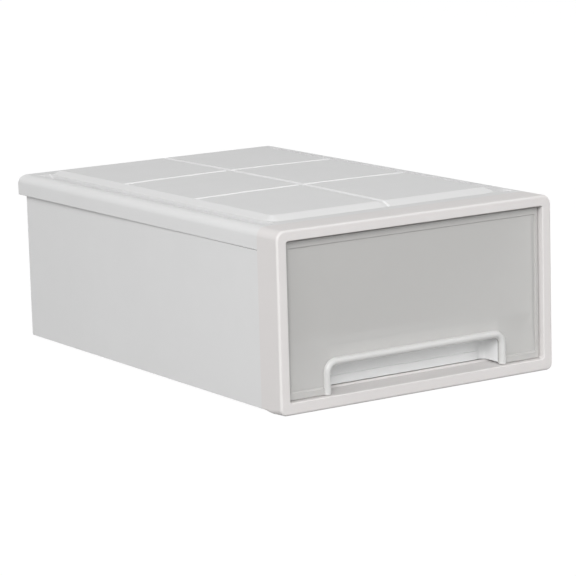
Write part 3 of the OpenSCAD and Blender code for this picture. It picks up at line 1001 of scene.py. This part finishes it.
@dataclass
class Pull(Piece):
    """Finger pull: the pocket behind the front, and the half-round bead round its opening."""

    body: str = "drawer"
    half: float = 77.5 * MM
    foot_z: float = 9.5 * MM
    bar_z: float = 32.2 * MM
    corner: float = 7.6 * MM
    radius: float = 2.8 * MM
    sides: int = 24
    face_y: float = 5.5 * MM
    pocket_edge: float = 0.4 * MM

    def bead(self) -> None:
        """Sweeps a round section along the legs and the bar, and cuts it flat at the front."""
        face_y = from_front(self.face_y)
        arch = [(side * (self.half - self.corner) + self.corner * math.cos(start - angle),
                 self.bar_z - self.corner + self.corner * math.sin(start - angle))
                for side, start in ((-1, math.pi), (1, math.pi / 2)) for angle in quarter()]
        path = [(x, face_y, z)
                for x, z in ((-self.half, self.foot_z), *arch, (self.half, self.foot_z))]
        obj = new_object("pull_lip_bead", path, (),
                         [(place, place + 1) for place in range(len(path) - 1)])
        kit = ShapeKit("pull bead")
        radius = kit.size("Bead radius", self.radius)
        curve = kit.node("GeometryNodeMeshToCurve", inputs={"Mesh": kit.geometry()})
        ring = kit.node("GeometryNodeCurvePrimitiveCircle",
                        inputs={"Resolution": self.sides, "Radius": radius})
        tube = kit.node("GeometryNodeCurveToMesh",
                        inputs={"Curve": curve, "Profile Curve": ring, "Fill Caps": True})
        kit.grow(obj, tube, BEAD.material())
        with editing(obj) as work:
            cut = bmesh.ops.bisect_plane(work, geom=[*work.verts, *work.edges, *work.faces],
                                         plane_co=(0, face_y, 0), plane_no=(0, 1, 0),
                                         clear_outer=True)
            edges = [part for part in cut["geom_cut"] if isinstance(part, bmesh.types.BMEdge)]
            bmesh.ops.edgeloop_fill(work, edges=edges)
            bmesh.ops.recalc_face_normals(work, faces=work.faces)
        polish(obj, sharp=40.0)
        self.place(obj, BEAD, "pull_lip")

    def pocket(self) -> None:
        """Softens a merged copy of the pocket and places it."""
        obj = merged_copy("pull_pocket", "pull_pocket_shell")
        polish(obj, edge=self.pocket_edge)
        self.place(obj, FROSTED, "pull_pocket")

    def build(self) -> None:
        """Builds the bead and the pocket."""
        self.bead()
        self.pocket()


# ---------------------------------------------------------------- studio


@dataclass
class Lamp:
    """One large soft lamp aimed at the box."""

    name: str
    place: tuple[float, float, float]
    size: float
    power: float
    aim: tuple[float, float, float] = (0.0, 0.0, 0.07)

    def build(self) -> None:
        """Makes the lamp."""
        data = bpy.data.lights.new(self.name, "AREA")
        data.shape, data.size, data.energy = "DISK", self.size, self.power
        obj = bpy.data.objects.new(self.name, data)
        obj.location = self.place
        look = Vector(self.aim) - Vector(self.place)
        obj.rotation_euler = look.to_track_quat("-Z", "Y").to_euler()
        bpy.context.scene.collection.objects.link(obj)


@dataclass
class Studio:
    """Camera, pale floor, white surroundings and soft lamps."""

    lens: float = 180.51
    sensor: float = 36.0
    clip: tuple[float, float] = (0.05, 50.0)
    camera_place: tuple[float, float, float] = (-1.18584, -1.81652, 0.45717)
    yaw: float = -33.3773
    pitch: float = 10.6396
    roll: float = -1.6202
    ambient: float = 0.055
    white: tuple[float, float, float, float] = (1.0, 1.0, 1.0, 1.0)
    floor_half: float = 4.0
    floor_colour: tuple[float, float, float, float] = (0.3, 0.3, 0.3, 1.0)
    floor_glow: float = 1.15
    floor_glow_share: float = 0.85
    lamps: list[Lamp] = field(default_factory=lambda: [
        Lamp("key", (-2.8, -3.6, 2.8), 2.8, 218.0),
        Lamp("left", (-3.2, -0.8, 1.1), 2.2, 50.0),
        Lamp("front right", (2.6, -3.2, 2.4), 2.6, 36.0),
        Lamp("low front", (1.2, -3.6, 0.6), 1.8, 32.0),
        Lamp("above", (0.0, 0.0, 2.4), 1.4, 7.0),
        Lamp("behind", (0.3, 4.2, 0.5), 1.0, 85.0),
        Lamp("right", (4.2, 0.3, 0.5), 1.0, 85.0),
    ])

    def camera(self) -> None:
        """Makes the camera at the photograph's viewing angle."""
        yaw, pitch, roll = (math.radians(angle) for angle in (self.yaw, self.pitch, self.roll))
        back = Vector((math.sin(yaw) * math.cos(pitch), -math.cos(yaw) * math.cos(pitch),
                       math.sin(pitch)))
        right = (-back).cross(Vector((0, 0, 1))).normalized()
        up = right.cross(-back)
        axis_x = math.cos(roll) * right + math.sin(roll) * up
        axis_y = -math.sin(roll) * right + math.cos(roll) * up
        data = bpy.data.cameras.new("camera")
        data.lens, data.sensor_width, data.sensor_fit = self.lens, self.sensor, "HORIZONTAL"
        data.clip_start, data.clip_end = self.clip
        obj = bpy.data.objects.new("camera", data)
        turned = Matrix((axis_x, axis_y, back)).transposed().to_4x4()
        obj.matrix_world = Matrix.Translation(self.camera_place) @ turned
        bpy.context.scene.collection.objects.link(obj)
        bpy.context.scene.camera = obj

    def surroundings(self) -> None:
        """Makes the world white to the eye and in reflections, and a plain grey light elsewhere."""
        world = bpy.data.worlds.new("studio")
        world.use_nodes = True
        world.node_tree.nodes.clear()
        bpy.context.scene.world = world
        kit = NodeKit(world.node_tree)
        strength = self.seen(kit) * (1.0 - self.ambient) + self.ambient
        light = kit.node("ShaderNodeBackground",
                         inputs={"Color": self.white, "Strength": strength})
        kit.node("ShaderNodeOutputWorld", inputs={"Surface": light})

    @staticmethod
    def seen(kit: NodeKit) -> Wire:
        """Tells the rays that see the surroundings from those that carry their light.

        Args:
            kit: adds nodes to the tree.

        Returns:
            1 for rays from the camera, from gloss and through clear plastic, and 0 for others.
        """
        kinds = ("Is Camera Ray", "Is Glossy Ray", "Is Transmission Ray")
        camera, gloss, through = (kit.node("ShaderNodeLightPath", output=kind) for kind in kinds)
        return camera.math("MAXIMUM", gloss).math("MAXIMUM", through)

    def floor(self) -> None:
        """Makes the pale floor, which looks white and keeps the box's shadow."""
        points = [(x * self.floor_half, y * self.floor_half, 0) for x, y in SQUARE]
        obj = new_object("floor", points, [(0, 1, 2, 3)])
        material = bpy.data.materials.new("pale floor")
        material.use_nodes = True
        material.node_tree.nodes.clear()
        kit = NodeKit(material.node_tree)
        matt = kit.node("ShaderNodeBsdfDiffuse", inputs={"Color": self.floor_colour})
        glow = kit.node("ShaderNodeEmission",
                        inputs={"Color": self.white, "Strength": self.floor_glow})
        mixed = kit.node("ShaderNodeMixShader",
                         inputs={0: self.seen(kit) * self.floor_glow_share, 1: matt, 2: glow})
        kit.node("ShaderNodeOutputMaterial", inputs={"Surface": mixed})
        obj.data.materials.append(material)

    def build(self) -> None:
        """Makes the whole studio."""
        self.camera()
        self.surroundings()
        self.floor()
        for lamp in self.lamps:
            lamp.build()
        bpy.context.scene.view_settings.view_transform = "Standard"


def main() -> None:
    """Builds the studio and every piece."""
    logging.basicConfig(level=logging.INFO, format="%(message)s")
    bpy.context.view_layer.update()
    Studio().build()
    for part in (FrontFrame(), TopBoard(), Boards(), DrawerTub(), DrawerFront(), Pull()):
        part.build()


if __name__ == "__main__":
    main()
